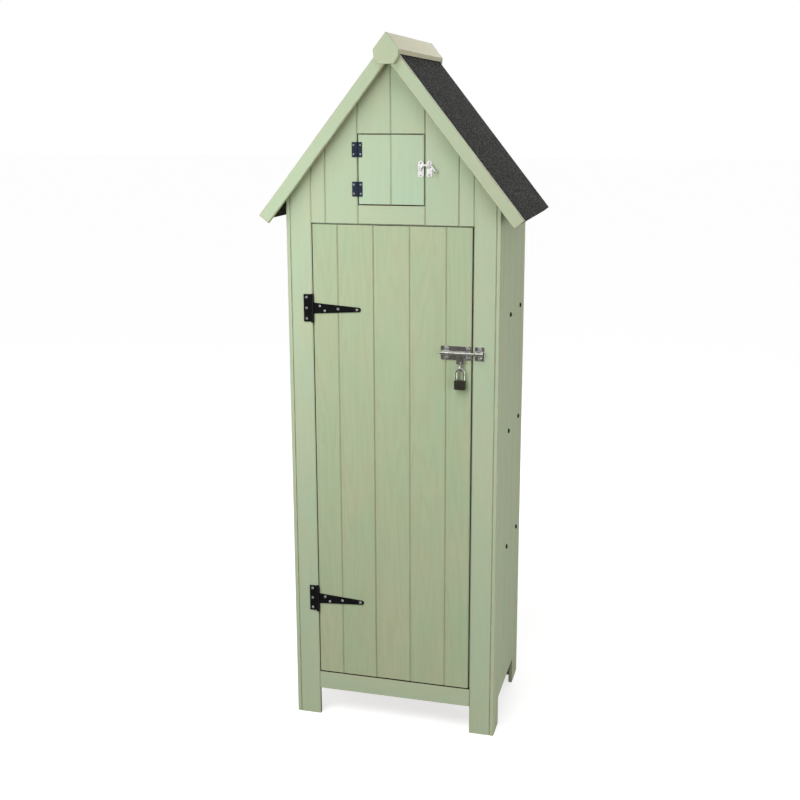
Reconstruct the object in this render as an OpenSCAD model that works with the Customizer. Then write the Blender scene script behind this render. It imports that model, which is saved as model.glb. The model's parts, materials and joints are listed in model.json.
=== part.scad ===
// Tall garden tool shed on four legs: boarded walls, steep felted roof, a ledged door with a padlocked
// bolt, and a small hatch in the gable with a lift-up latch.
// The origin is on the ground under the middle of the shed. The door faces -Y.

/* [Overall] */
// Width over the eaves
overall_w = 660; // [640:1:700]
// Depth over the ridge end plates
overall_d = 460; // [450:1:520]
// Height from the ground to the ridge
overall_h = 1780; // [1740:1:1880]
// Slope of each side of the roof, in degrees
roof_pitch = 51.5; // [50:0.5:53]
// Distance from the side boards out to the eaves
eave_over = 59; // [50:1:66]
// Distance from the back boards to the end of the felt
rear_over = 29; // [20:1:40]

/* [Body] */
// Thickness of the wall boards
board_t = 10; // [9.5:0.5:12]
// Boards across the back
back_count = 6; // [4:1:8]
// Width of the bevel on each long edge of a board, which makes the vee of a joint
vee_w = 2.8; // [1:0.1:3.4]
// Depth of that bevel
vee_d = 2; // [0.6:0.1:2.6]
// Gap left between two boards
joint_gap = 0.4; // [0.2:0.1:0.8]
// Thickness of a board's tongue
tongue_t = 3; // [2:0.1:4]
// Length of a board's tongue
tongue_l = 4; // [3:0.1:6]
// Room round a tongue in its groove
tongue_fit = 0.2; // [0.1:0.05:0.4]
// Width of a front stile
stile_w = 55.5; // [50:0.5:60]
// Height of the legs under the rails
leg_h = 76; // [60:1:100]
// Depth of a front leg, seen from the side
leg_front_d = 67; // [50:1:90]
// Depth of a rear leg, seen from the side
leg_rear_d = 80; // [50:1:100]
// Width of the first side board, at the front corner
side_first = 42; // [30:1:56]
// Width of the last side board, at the back corner
side_last = 58; // [40:1:76]
// Height of the rail under the door
rail_h = 49; // [40:1:60]
// Side of a square corner post
post_s = 28; // [22:1:34]
// Room left where a piece of wood meets its neighbour
seat = 0.3; // [0.1:0.05:0.5]

/* [Door] */
// Distance from the ridge down to the top of the doorway
gable_h = 447; // [440:1:500]
// Width that an outer door board covers
door_outer = 67.5; // [66:0.5:80]
// Thickness of a door board
door_t = 9.5; // [8:0.5:9.5]
// Gap at the hinge side of the door
door_gap_hinge = 2.2; // [1.5:0.1:3]
// Gap at the latch side of the door
door_gap_latch = 4; // [2:0.1:5]
// Gap over the door
door_gap_top = 3.5; // [2:0.1:6]
// Gap under the door
door_gap_bottom = 3; // [2:0.1:6]
// Thickness of a ledge across the back of the door
ledge_t = 12; // [9:0.5:16]
// Height of a door ledge
ledge_h = 70; // [50:1:90]
// Distance from the door's edges to the ends of a ledge
ledge_inset = 21; // [18:1:30]
// Thickness of the door stops and of the battens behind the gable
stop_t = 20; // [16:1:26]
// Width of a door stop
stop_w = 24; // [20:1:26]
// How far a stop laps behind the door
stop_lap = 12; // [8:1:16]
// How far the head batten laps behind the door
head_lap = 8; // [5:1:12]
// Height of the head batten
head_h = 40; // [32:1:44]

/* [Hatch] */
// Width that one gable board covers; the hatch is as wide as two
gable_cover = 84.5; // [80:0.5:88]
// Place of the joint beside the hatch, as a share of the way to the stile
gable_share = 0.69; // [0.4:0.01:0.75]
// Height of the piece of gable under the hatch
sill_h = 45; // [42:1:60]
// Height of the hatch opening
hatch_open_h = 171; // [150:1:190]
// Gap round the hatch
hatch_gap = 2.3; // [1:0.1:3]
// Width of a batten beside the hatch
jamb_w = 28; // [20:1:32]
// How far such a batten laps behind the hatch
jamb_lap = 8; // [5:1:10]
// Height of a batten across the back of the hatch
hatch_batten_h = 24; // [18:1:30]

/* [Inside] */
// Thickness of the floor
floor_t = 10; // [8:1:16]
// Height of a floor bearer
bearer_h = 28; // [22:1:30]
// Thickness of a shelf
shelf_t = 12; // [9:1:18]
// Height of the low shelf's battens above the ground, at their middle
shelf_low_z = 471; // [430:1:520]
// Distance from the top of the doorway down to the high shelf's battens
shelf_high_drop = 236; // [200:1:280]
// Place of the middle shelf, as a share of the way from the low one to the high one
shelf_mid_share = 0.51; // [0.4:0.01:0.6]
// Height of a shelf batten
batten_h = 28; // [22:1:34]
// Thickness of a shelf batten
batten_t = 20; // [16:1:26]
// Distance from the front of the body to the shelves
shelf_front = 104; // [80:1:125]
// Distance from the front of the body to the front side bolts
bolt_front_y = 152; // [140:1:170]
// Distance from the back of the body to the rear side bolts
bolt_rear_in = 70; // [60:1:90]
// Radius of a side bolt's head
side_head_r = 6.5; // [5:0.5:8]
// Height of a side bolt's head
side_head_h = 4; // [3:0.5:5]
// Radius of a side bolt's shank
side_shank_r = 3; // [2.5:0.25:4]

/* [Roof] */
// Thickness of the roof boards
roof_t = 12; // [9:0.5:14]
// Roof boards on each side
roof_boards = 5; // [3:1:7]
// Thickness of the felt
felt_t = 2; // [1.5:0.1:3]
// Gap between two layers of the roof
lay = 0.05; // [0.02:0.01:0.2]
// Gap between the felt turned under the eave and the wall
felt_wall_gap = 6; // [2:1:20]
// Width of a barge board, square to the slope
barge_w = 30; // [26:1:40]
// Thickness of a barge board
barge_t = 12; // [9:1:16]
// Distance from the front of the body to the face of the barge boards
barge_over = 31; // [26:1:36]
// How far the barge boards stand above the felt
barge_proud = 1.5; // [0.5:0.1:3]
// Width of a ridge board, down the slope
ridge_board_w = 50; // [44:1:60]
// Thickness of a ridge board
ridge_t = 9; // [7:0.5:12]
// Thickness of a ridge end plate
plate_t = 12; // [9:1:13]
// Height of a ridge end plate
plate_h = 72; // [66:1:80]
// Distance from a ridge end plate's point down to its shoulders
plate_shoulder_h = 55; // [50:1:60]
// How much narrower each shoulder is than the ridge boards
plate_taper = 1.6; // [0:0.1:4]
// Width of a ridge end plate at its foot
plate_foot_w = 37; // [30:1:44]
// Thickness of a batten under the roof boards
roof_batten_t = 20; // [16:1:24]
// Width of a batten under the roof boards
roof_batten_w = 30; // [24:1:36]
// Distance from the side boards in to the lower battens
roof_batten_inset = 10; // [4:1:20]
// Place of the upper battens, as a share of the way down to the lower ones
roof_batten_share = 0.34; // [0.3:0.01:0.5]

/* [Door hinges] */
// Height of the lower hinge
hinge_low_z = 337; // [250:1:400]
// Distance from the top of the doorway down to the upper hinge
hinge_high_drop = 214; // [160:1:300]
// Gap from the doorway's edge to the pin
hinge_gap = 0.5; // [0:0.1:1]
// Gap between the knuckle and the wood behind it
knuckle_back = 0.2; // [0.1:0.1:0.4]
// Gap between two knuckles on a pin
knuckle_gap = 0.4; // [0.3:0.1:0.8]
// Gap between a leaf and the other leaf's knuckle
leaf_gap = 0.5; // [0.4:0.1:0.8]
// Distance from the pin to the plate's screws
plate_screw_x = 15; // [13:0.5:17]
// Distance between two of the plate's screws
plate_screw_z = 27; // [24:0.5:30]
// Length of a hinge strap, from the pin
strap_l = 127; // [110:1:134]
// Height of a strap at the knuckle
strap_root_h = 27.6; // [22:0.2:32]
// Height of a strap at its tip
strap_tip_h = 11.6; // [10:0.2:14]
// Height of a hinge's frame plate
frame_plate_h = 70; // [64:1:80]
// Width of a hinge's frame plate, from the pin
frame_plate_w = 23; // [21:0.5:26]
// Thickness of the strap and plate
strap_t = 1.8; // [1.5:0.1:2.2]
// Radius of the knuckle
knuckle_r = 3.4; // [3.2:0.1:3.8]
// Radius of the hinge pin
pin_r = 1.7; // [1.4:0.1:1.9]
// Running clearance round a pin
pin_fit = 0.05; // [0.03:0.01:0.09]
// Radius of a large screw head
screw_r = 3.6; // [3:0.1:4]
// Height of a large screw head
screw_h = 1.9; // [1.4:0.1:2]
// Radius of a large screw's shank
screw_shank_r = 1.6; // [1.3:0.1:2]
// Length of a large screw's hole in the wood
screw_l = 9; // [7:0.5:9]
// Room round and behind a screw's shank
screw_fit = 0.1; // [0.05:0.05:0.2]

/* [Hatch fittings] */
// Height of a hatch hinge
butt_h = 36; // [30:1:40]
// Width of one leaf of a hatch hinge, from the pin
butt_w = 13; // [12:0.5:15]
// Thickness of a hatch hinge's leaf
butt_t = 1.2; // [1:0.1:1.5]
// Radius of a hatch hinge's knuckle
butt_r = 2.2; // [2:0.1:2.4]
// Radius of a hatch hinge's pin
butt_pin_r = 1.1; // [0.9:0.1:1.2]
// Distance from the hatch's edges to the middle of its hinges
butt_inset = 36; // [30:1:50]
// Radius of a small screw head
small_r = 2.5; // [2:0.1:2.7]
// Height of a small screw head
small_h = 1.2; // [0.9:0.1:1.3]
// Radius of a small screw's shank
small_shank_r = 1.1; // [0.9:0.1:1.4]
// Length of a small screw's hole in the wood
small_l = 7; // [5:0.5:8]
// Height of the latch above the middle of the hatch
latch_up = 2.5; // [0:0.5:8]
// Distance from the hatch's edge to the pivot's plate
latch_inset = 0.7; // [0.5:0.1:4]
// Distance from the hatch's opening to the post's plate
latch_frame_gap = 3.6; // [2:0.2:6]
// Height of the post above the pivot
post_up = 4.6; // [3:0.2:6]
// Distance from the pivot to the knob
knob_reach = 37.7; // [34:0.1:42]
// Drop from the pivot to the knob
knob_drop = 6.5; // [3:0.5:9]
// Gap between the wood and the back of the latch arm
arm_back = 4.9; // [4:0.1:6]
// Width of a latch plate
latch_plate_w = 15; // [13:0.5:16]
// Height of a latch plate
latch_plate_h = 40; // [36:1:46]
// Thickness of a latch plate
latch_plate_t = 1.5; // [1.2:0.1:2]
// Thickness of the latch arm
arm_t = 2.5; // [2:0.1:3]
// Width of the latch arm
arm_w = 4; // [3:0.1:4.4]
// Radius of the latch's post
post_r = 2.5; // [2:0.1:2.7]
// Room round the latch's post
post_fit = 0.4; // [0.3:0.05:0.6]
// Radius of the latch's finger knob
knob_r = 3.6; // [3:0.1:4.5]

/* [Bolt and padlock] */
// Distance from the top of the doorway down to the bolt
bolt_drop = 310.5; // [280:0.5:380]
// Length of the bolt's base plate
base_l = 76; // [74:1:77]
// Height of the bolt's base plate and keeper
base_h = 35; // [32:1:38]
// Thickness of the base plate and keeper
base_t = 1.5; // [1.2:0.1:1.8]
// Distance from the base plate's left end to its screws
base_screw_left = 13; // [11:0.5:16]
// Distance from the base plate's right end to its screws
base_screw_right = 10; // [9:0.5:12]
// Height of the plates' screws above the bolt
base_screw_z = 11; // [9.5:0.5:13]
// Radius of the bolt's round bar
bar_r = 3.5; // [3:0.1:3.6]
// Gap between the base plate and the bar
bar_lift = 1.2; // [0.3:0.1:2]
// Room between the bar and its guides
bar_fit = 0.1; // [0.05:0.01:0.1]
// Room between the bar and the keeper's loop
keeper_fit = 0.9; // [0.4:0.1:1.2]
// Wall of a guide
guide_wall = 1.4; // [1:0.1:1.6]
// Length of the guide at the handle's side
guide_l = 20; // [16:0.5:22]
// Length of the guide at the door's edge
guide_end_l = 8; // [6:0.5:10]
// Travel of the bolt from rest to shut
bolt_shut = 7.5; // [7:0.5:10]
// Distance from the doorway's edge to the keeper
keeper_edge = 5; // [4:0.5:8]
// Length of the keeper plate
keeper_l = 24; // [22:1:26]
// Width of the bolt's tongue
tab_w = 20; // [16:1:20]
// Thickness of the bolt's tongue
tab_t = 2.5; // [2:0.1:2.8]
// Drop from the bar to the eye in the tongue
eye_drop = 36.5; // [35:0.5:40]
// Radius of the eye
eye_r = 4.2; // [3.9:0.1:4.5]
// Wall round the eye
eye_wall = 3; // [2.5:0.1:3]
// Radius of the shackle's rod
shackle_r = 2.6; // [2.3:0.1:2.8]
// Radius of the shackle's bend, at the middle of the rod
shackle_bend = 9.5; // [9:0.1:10.5]
// Free length of the shackle's straight legs
shackle_leg = 19.4; // [17:0.1:24]
// Width of the padlock's body
lock_w = 28; // [27:0.5:32]
// Height of the padlock's body
lock_h = 23.5; // [22:0.5:30]
// Thickness of the padlock's body
lock_t = 12; // [10:0.5:12.5]

/* [Hidden] */
$fn = 48;

paint = [0.66, 0.73, 0.6];
raw_wood = [0.78, 0.66, 0.48];
felt_grey = [0.16, 0.16, 0.16];
black_steel = [0.1, 0.1, 0.11];
slate = [0.2, 0.23, 0.3];
bright = [0.8, 0.8, 0.8];
dark_steel = [0.22, 0.21, 0.19];

// Planes of the body
front_y = -overall_d / 2 + plate_t + barge_over;
back_y = overall_d / 2 - plate_t - rear_over;
body_w = overall_w - 2 * eave_over;
body_d = back_y - front_y;
inner_x = body_w / 2 - board_t;
inner_front_y = front_y + board_t;
inner_back_y = back_y - board_t;
doorway_w = 2 * (inner_x - stile_w);
doorway_z = leg_h + rail_h;
doorway_top = overall_h - gable_h;

// The slope, measured from the line where the top edges of the barge boards would meet
slope_cos = cos(roof_pitch);
slope_sin = sin(roof_pitch);
slope_tan = tan(roof_pitch);
apex_z = overall_h - ridge_t / slope_cos;
eave_u = overall_w / 2 / slope_cos;
felt_d = barge_proud + felt_t;
boards_d = felt_d + lay;
under_d = boards_d + roof_t;
roof_y0 = front_y - barge_over + barge_t;
roof_y1 = overall_d / 2 - plate_t;
function level(x, d) = apex_z - d / slope_cos - abs(x) * slope_tan;
function on_slope(u, d) = [u * slope_cos - d * slope_sin, apex_z - u * slope_sin - d * slope_cos];

// The door
door_x0 = -doorway_w / 2 + door_gap_hinge;
door_x1 = doorway_w / 2 - door_gap_latch;
door_z0 = doorway_z + door_gap_bottom;
door_z1 = doorway_top - door_gap_top;
door_joint = doorway_w / 2 - door_outer;
door_edges = [door_x0, -door_joint, -door_joint / 3, door_joint / 3, door_joint, door_x1];
hinge_high_z = doorway_top - hinge_high_drop;
ledge_mid_z = (hinge_low_z + hinge_high_z) / 2;
ledge_z = [hinge_low_z, ledge_mid_z, hinge_high_z];

// The hatch
hatch_x = gable_cover;
hatch_z0 = doorway_top + sill_h;
hatch_z1 = hatch_z0 + hatch_open_h;
leaf_x = hatch_x - hatch_gap;
leaf_z0 = hatch_z0 + hatch_gap;
leaf_z1 = hatch_z1 - hatch_gap;
butt_z = [leaf_z0 + butt_inset, leaf_z1 - butt_inset];

// Inside
floor_z = doorway_z + door_gap_bottom - floor_t - 2 * seat;
bearer_z = floor_z - bearer_h;
between_posts = inner_x - post_s - seat;
shelf_high_z = doorway_top - shelf_high_drop;
shelf_mid_z = shelf_low_z + shelf_mid_share * (shelf_high_z - shelf_low_z);
shelf_z = [shelf_low_z, shelf_mid_z, shelf_high_z];
side_bolt_y = [front_y + bolt_front_y, back_y - bolt_rear_in];
side_bolt_l = board_t + 0.9 * batten_t;

// Door hinges: the pin stands in front of the doorway's left edge
hinge_x = -doorway_w / 2 - hinge_gap;
hinge_y = -knuckle_r - knuckle_back;
hinge_z = [hinge_low_z, hinge_high_z];
leaf_clear = knuckle_r + leaf_gap;
strap_screws = [
    [0.155 * strap_l, 0.22 * strap_root_h], [0.255 * strap_l, -0.21 * strap_root_h],
    [0.53 * strap_l, 0], [strap_l - 0.9 * strap_tip_h, 0]
];

// Hatch hinges: the pin stands in front of the opening's left edge
butt_x = -hatch_x - seat;
butt_y = -butt_r - knuckle_back;
butt_clear = butt_r + knuckle_gap;
butt_screw_x = 0.65 * butt_w;
butt_screw_z = 0.3 * butt_h;

// Latch: the arm turns on the hatch's plate and drops over the post on the gable
latch_z = (hatch_z0 + hatch_z1) / 2 + latch_up;
latch_pivot_x = leaf_x - latch_inset - latch_plate_w / 2;
latch_post_x = hatch_x + latch_frame_gap + latch_plate_w / 2;
latch_post_z = latch_z + post_up;
latch_screw_z = latch_plate_h / 2 - latch_plate_w / 3;
arm_y = -arm_back;
arm_tip_y = arm_y - arm_t;
arm_pivot_r = arm_w / 2;
arm_side_gap = 0.2;
arm_over = latch_post_z + post_r + post_fit + arm_w / 2;
arm_path = [
    [latch_pivot_x, latch_z], [latch_pivot_x + 1.5 * arm_w, arm_over],
    [latch_post_x + arm_w, arm_over], [latch_pivot_x + knob_reach, latch_z - knob_drop]
];
spur_w = 0.6 * arm_w;
spur_x = latch_post_x - post_r - post_fit - spur_w / 2;

// Bolt
bolt_z = doorway_top - bolt_drop;
base_x1 = door_x1 - seat;
base_x0 = base_x1 - base_l;
bar_y = -base_t - bar_lift - bar_r;
guide_bore_r = bar_r + bar_fit;
guide_left = [base_x0 + 2, base_x0 + 2 + guide_l];
guide_right = [base_x1 - seat - guide_end_l, base_x1 - seat];
tab_x0 = guide_right[0] - bolt_shut - tab_w;
bar_x0 = base_x0 - 2;
bar_x1 = doorway_w / 2 + keeper_edge - 1;
keeper_x0 = doorway_w / 2 + keeper_edge;
keeper_loop = [keeper_x0 + 1.5, keeper_x0 + keeper_l - 2];
base_screw_x = [base_x0 + base_screw_left, base_x1 - base_screw_right];
keeper_screw_x = keeper_x0 + 0.45 * keeper_l;
eye_x = tab_x0 + tab_w / 2;
eye_y = -lock_t / 2 - 2.2;
eye_z = bolt_z - eye_drop;
eye_t = 4;

// Padlock: the bend is centred on the swing axis
bend_z = eye_z - eye_r + shackle_r + 0.5 - shackle_bend;
lock_top = bend_z - shackle_leg;
heel_l = 14;
toe_l = 6;
leg_fit = 0.08;
lock_corner_r = 3;

// Extrudes an outline drawn in X and Z from y0 to y1
module upright(y0, y1) {
    translate([0, y1, 0]) rotate([90, 0, 0]) linear_extrude(y1 - y0) children();
}

// The piece on the right-hand side and its mirror image on the left
module both_sides() {
    children();
    mirror([1, 0, 0]) children();
}

// Everything below the roof boards
module under_roof() {
    half = body_w / 2 + 5;
    upright(front_y - 5, back_y + 5)
        polygon([
            [-half, -5], [half, -5], [half, level(half, under_d + seat)],
            [0, level(0, under_d + seat)], [-half, level(half, under_d + seat)]
        ]);
}

// Plan of one board from a to b with its face on y = 0
module board_plan(a, b, t, tongue, groove) {
    mid = t / 2;
    slot = tongue_t / 2 + tongue_fit;
    polygon(concat(
        [[a, vee_d], [a + vee_w, 0], [b - vee_w, 0], [b, vee_d]],
        tongue ? [
            [b, mid - tongue_t / 2], [b + tongue_l, mid - tongue_t / 2],
            [b + tongue_l, mid + tongue_t / 2], [b, mid + tongue_t / 2]
        ] : [],
        [[b, t], [a, t]],
        groove ? [
            [a, mid + slot], [a + tongue_l + tongue_fit, mid + slot],
            [a + tongue_l + tongue_fit, mid - slot], [a, mid - slot]
        ] : []
    ));
}

// Board number i of a run whose joints stand at the given edges
module run_board(edges, i, t) {
    last = len(edges) - 2;
    a = edges[i] + (i > 0 ? joint_gap / 2 : 0);
    b = edges[i + 1] - (i < last ? joint_gap / 2 : 0);
    board_plan(a, b, t, i < last, i > 0);
}

// A box given by its lowest and highest corners
module block(lo, hi) {
    translate(lo) cube([hi[0] - lo[0], hi[1] - lo[1], hi[2] - lo[2]]);
}

// A shank or hole along +Y from the plane y0 of the body's front
module pin_y(x, y0, z, r, l) {
    translate([x, front_y + y0, z]) rotate([-90, 0, 0]) cylinder(r = r, h = l);
}

// A round-headed screw whose head sits on the plane y0 of the body's front
module screw(x, y0, z, head_r, head_h, shank_r, l) {
    translate([x, front_y + y0, z]) rotate([90, 0, 0])
        cylinder(r1 = head_r, r2 = 0.62 * head_r, h = head_h);
    pin_y(x, y0, z, shank_r, l - y0 - screw_fit);
}

// Positions of the screws, by the piece that they hold
function frame_plate_points(zc) = [for (i = [-1:1]) [hinge_x - plate_screw_x, zc + i * plate_screw_z]];
function strap_points(zc) = [for (p = strap_screws) [hinge_x + p[0], zc + p[1]]];
function butt_points(side) =
    [for (zc = butt_z) for (s = [-1, 1]) [butt_x + side * butt_screw_x, zc + s * butt_screw_z]];
function latch_points(x) = [for (s = [-1, 1]) [x, latch_z + s * latch_screw_z]];
base_points = [for (x = base_screw_x) for (s = [-1, 1]) [x, bolt_z + s * base_screw_z]];
keeper_points = [for (s = [-1, 1]) [keeper_screw_x, bolt_z + s * base_screw_z]];
strap_all = [for (zc = hinge_z) for (p = strap_points(zc)) p];
frame_plate_all = [for (zc = hinge_z) for (p = frame_plate_points(zc)) p];
small_frame = concat(butt_points(-1), latch_points(latch_post_x));
small_hatch = concat(butt_points(1), latch_points(latch_pivot_x));

// Pilot holes in wood behind the large and the small screws
module large_holes(points) {
    for (p = points) pin_y(p[0], -1, p[1], screw_shank_r + screw_fit, screw_l + 1);
}
module small_holes(points) {
    for (p = points) pin_y(p[0], -1, p[1], small_shank_r + screw_fit, small_l + 1);
}

// Clearance holes through a plate of the given thickness
module plate_holes(points, r, t) {
    for (p = points) pin_y(p[0], -t - 1, p[1], r + screw_fit, t + 2);
}

module stile(side) {
    color(paint) difference() {
        intersection() {
            translate([0, front_y, 0]) linear_extrude(overall_h) mirror([side < 0 ? 1 : 0, 0, 0])
                board_plan(doorway_w / 2, inner_x - seat, board_t, false, false);
            under_roof();
        }
        large_holes(side < 0 ? frame_plate_all : keeper_points);
    }
}

module bottom_rail() {
    color(paint)
        block([-doorway_w / 2 + seat, front_y, leg_h], [doorway_w / 2 - seat, inner_front_y, doorway_z]);
}

gable_joint = hatch_x + gable_share * (doorway_w / 2 - hatch_x);
gable_end = doorway_w / 2 - seat;
gable_edges = [-gable_end, -gable_joint, -hatch_x, 0, hatch_x, gable_joint, gable_end];

module gable_boards() {
    color(paint) difference() {
        intersection() {
            union() for (i = [0:5]) {
                z0 = i == 2 || i == 3 ? hatch_z1 : doorway_top;
                translate([0, front_y, z0]) linear_extrude(overall_h) run_board(gable_edges, i, board_t);
            }
            under_roof();
        }
        // Room for the hatch and the sill, past the side boards' tongues
        block([-hatch_x, front_y - 1, doorway_top - 1], [hatch_x, inner_front_y + 1, hatch_z1]);
        small_holes(small_frame);
    }
}

module gable_sill() {
    color(paint) translate([0, front_y, doorway_top]) linear_extrude(sill_h)
        board_plan(-hatch_x + joint_gap, hatch_x - joint_gap, board_t, false, false);
}

side_cover = (body_d - side_first - side_last) / 3;
side_edges = concat([0], [for (i = [0:3]) side_first + i * side_cover], [body_d]);

// The right-hand side, seen from outside: the boards run from the front to the back
module side_boards_right() {
    color(paint) difference() {
        intersection() {
            translate([body_w / 2, front_y, 0]) rotate([0, 0, 90]) linear_extrude(overall_h)
                for (i = [0:4]) run_board(side_edges, i, board_t);
            under_roof();
        }
        block([0, front_y + leg_front_d, -1], [body_w, back_y - leg_rear_d, leg_h]);
        side_bolt_holes();
    }
}

module side_bolt_holes() {
    for (z = shelf_z) for (y = side_bolt_y)
        translate([body_w / 2 + 1, y, z]) rotate([0, -90, 0])
            cylinder(r = side_shank_r + screw_fit, h = side_bolt_l + screw_fit + 1);
}

module side_bolts_right() {
    color(black_steel) for (z = shelf_z) for (y = side_bolt_y) translate([body_w / 2, y, z]) {
        rotate([0, 90, 0]) cylinder(r1 = side_head_r, r2 = 0.6 * side_head_r, h = side_head_h);
        rotate([0, -90, 0]) cylinder(r = side_shank_r, h = side_bolt_l);
    }
}

back_step = (inner_x - seat) * 2 / back_count;
back_edges = [for (i = [0:back_count]) seat - inner_x + i * back_step];

module back_boards() {
    color(paint) intersection() {
        translate([0, back_y, leg_h]) mirror([0, 1, 0]) linear_extrude(overall_h)
            for (i = [0:back_count - 1]) run_board(back_edges, i, board_t);
        under_roof();
    }
}

module post(side, y0) {
    x = side * (inner_x - post_s / 2);
    color(paint) intersection() {
        block([x - post_s / 2, y0, 0], [x + post_s / 2, y0 + post_s, overall_h]);
        under_roof();
    }
}

module head_batten() {
    z0 = doorway_top - head_lap;
    color(paint)
        block([-between_posts, inner_front_y, z0], [between_posts, inner_front_y + stop_t, z0 + head_h]);
}

module hatch_jambs() {
    z0 = doorway_top - head_lap + head_h + seat;
    color(paint) difference() {
        intersection() {
            union() for (side = [-1, 1]) {
                x = side * (hatch_x - jamb_lap + jamb_w / 2) - jamb_w / 2;
                block([x, inner_front_y, z0], [x + jamb_w, inner_front_y + stop_t, overall_h]);
            }
            under_roof();
        }
        small_holes(small_frame);
    }
}

module door_stop(side) {
    x = side * (doorway_w / 2 - stop_lap + stop_w / 2);
    color(paint) block(
        [x - stop_w / 2, inner_front_y, floor_z + floor_t + seat],
        [x + stop_w / 2, inner_front_y + stop_t, doorway_top - head_lap - seat]
    );
}

module floor_panel() {
    color(raw_wood) block(
        [-between_posts, inner_front_y + seat, floor_z],
        [between_posts, inner_back_y - seat, floor_z + floor_t]
    );
}

module floor_bearers() {
    color(raw_wood) for (y = [inner_front_y + seat, inner_back_y - seat - post_s])
        block([-between_posts, y, bearer_z], [between_posts, y + post_s, floor_z]);
}

module shelf(z) {
    z0 = z + batten_h / 2;
    half = inner_x - 2 * seat;
    color(raw_wood) difference() {
        block([-half, front_y + shelf_front, z0], [half, inner_back_y - seat, z0 + shelf_t]);
        for (side = [-1, 1]) {
            x = side * inner_x;
            block(
                [x - post_s - seat, inner_back_y - post_s - seat, z0 - 1],
                [x + post_s + seat, inner_back_y + 1, z0 + shelf_t + 1]
            );
        }
    }
}

module shelf_battens_right() {
    color(raw_wood) difference() {
        for (z = shelf_z) block(
            [inner_x - batten_t, front_y + shelf_front, z - batten_h / 2],
            [inner_x, inner_back_y - post_s - seat, z + batten_h / 2]
        );
        side_bolt_holes();
    }
}

// One layer of the right-hand slope between the depths d0 and d1, down to u1
module slope_layer(d0, d1, u1) {
    polygon([[0, level(0, d0)], on_slope(u1, d0), on_slope(u1, d1), [0, level(0, d1)]]);
}

// The same between the distances u0 and u1 down the slope
module slope_strip(d0, d1, u0, u1) {
    polygon([on_slope(u0, d0), on_slope(u1, d0), on_slope(u1, d1), on_slope(u0, d1)]);
}

module roof_boards_right() {
    end_u = eave_u - felt_t - lay;
    step = end_u / roof_boards;
    color(raw_wood) upright(roof_y0, roof_y1 - felt_t - lay) {
        slope_layer(boards_d, under_d, step - joint_gap / 2);
        for (i = [1:roof_boards - 1]) {
            u0 = i * step + joint_gap / 2;
            u1 = (i + 1) * step - (i < roof_boards - 1 ? joint_gap / 2 : 0);
            slope_strip(boards_d, under_d, u0, u1);
        }
    }
}

module roof_battens_right() {
    y_inset = board_t + post_s + seat;
    low_u = (inner_x - roof_batten_inset + under_d * slope_sin) / slope_cos - roof_batten_w;
    color(raw_wood) upright(front_y + y_inset, back_y - y_inset)
        for (u = [roof_batten_share * low_u, low_u])
            slope_strip(under_d + lay, under_d + roof_batten_t, u, u + roof_batten_w);
}

module felt_right() {
    fold_d = under_d + lay;
    low_d = fold_d + felt_t;
    fold_u = (body_w / 2 + felt_wall_gap + low_d * slope_sin) / slope_cos;
    color(felt_grey) {
        upright(roof_y0, roof_y1) polygon([
            [0, level(0, barge_proud)], on_slope(eave_u, barge_proud), on_slope(eave_u, low_d),
            on_slope(fold_u, low_d), on_slope(fold_u, fold_d), on_slope(eave_u - felt_t, fold_d),
            on_slope(eave_u - felt_t, felt_d), [0, level(0, felt_d)]
        ]);
        upright(roof_y1 - felt_t, roof_y1) slope_layer(barge_proud, fold_d, eave_u);
    }
}

module barge_right() {
    color(paint) upright(front_y - barge_over, roof_y0) slope_layer(0, barge_w, eave_u);
}

// Corner of a ridge board where its top face ends
ridge_corner = [ridge_board_w * slope_cos, overall_h - ridge_board_w * slope_sin];
ridge_lip = 3;
ridge_foot = [
    ridge_corner[0] - ridge_lip,
    ridge_corner[1] - (ridge_t - lay - ridge_lip * slope_sin) / slope_cos
];

module ridge_board_right() {
    color(paint) upright(front_y - barge_over, roof_y1)
        polygon([[0, overall_h], ridge_corner, ridge_foot, [0, apex_z + lay / slope_cos]]);
}

module ridge_plate(y0) {
    shoulder = [ridge_corner[0] - plate_taper, overall_h - plate_shoulder_h];
    foot = [plate_foot_w / 2, overall_h - plate_h];
    right = [ridge_corner, shoulder, foot];
    left = [for (i = [2:-1:0]) [-right[i][0], right[i][1]]];
    color(paint) upright(y0, y0 + plate_t) polygon(concat([[0, overall_h]], right, left));
}

// Knuckle of a door hinge between two heights, on the pin's axis
module knuckle(r, z0, z1) {
    translate([hinge_x, front_y + hinge_y, z0]) cylinder(r = r, h = z1 - z0);
}

module hinge_plate(zc) {
    half = frame_plate_h / 2;
    barrel = half + 1.5;
    mid = strap_root_h / 2 + knuckle_gap;
    color(black_steel) difference() {
        union() {
            block([hinge_x - frame_plate_w, front_y - strap_t, zc - half],
                [hinge_x - leaf_clear, front_y, zc + half]);
            for (z = [[zc - barrel, zc - mid], [zc + mid, zc + barrel]]) {
                knuckle(knuckle_r, z[0], z[1]);
                block([hinge_x - leaf_clear - 1, front_y - strap_t, max(z[0], zc - half)],
                    [hinge_x - 1, front_y - knuckle_back, min(z[1], zc + half)]);
            }
            knuckle(pin_r, zc - mid - 1, zc + mid + 1);
        }
        plate_holes(frame_plate_points(zc), screw_shank_r, strap_t);
    }
}

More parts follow.
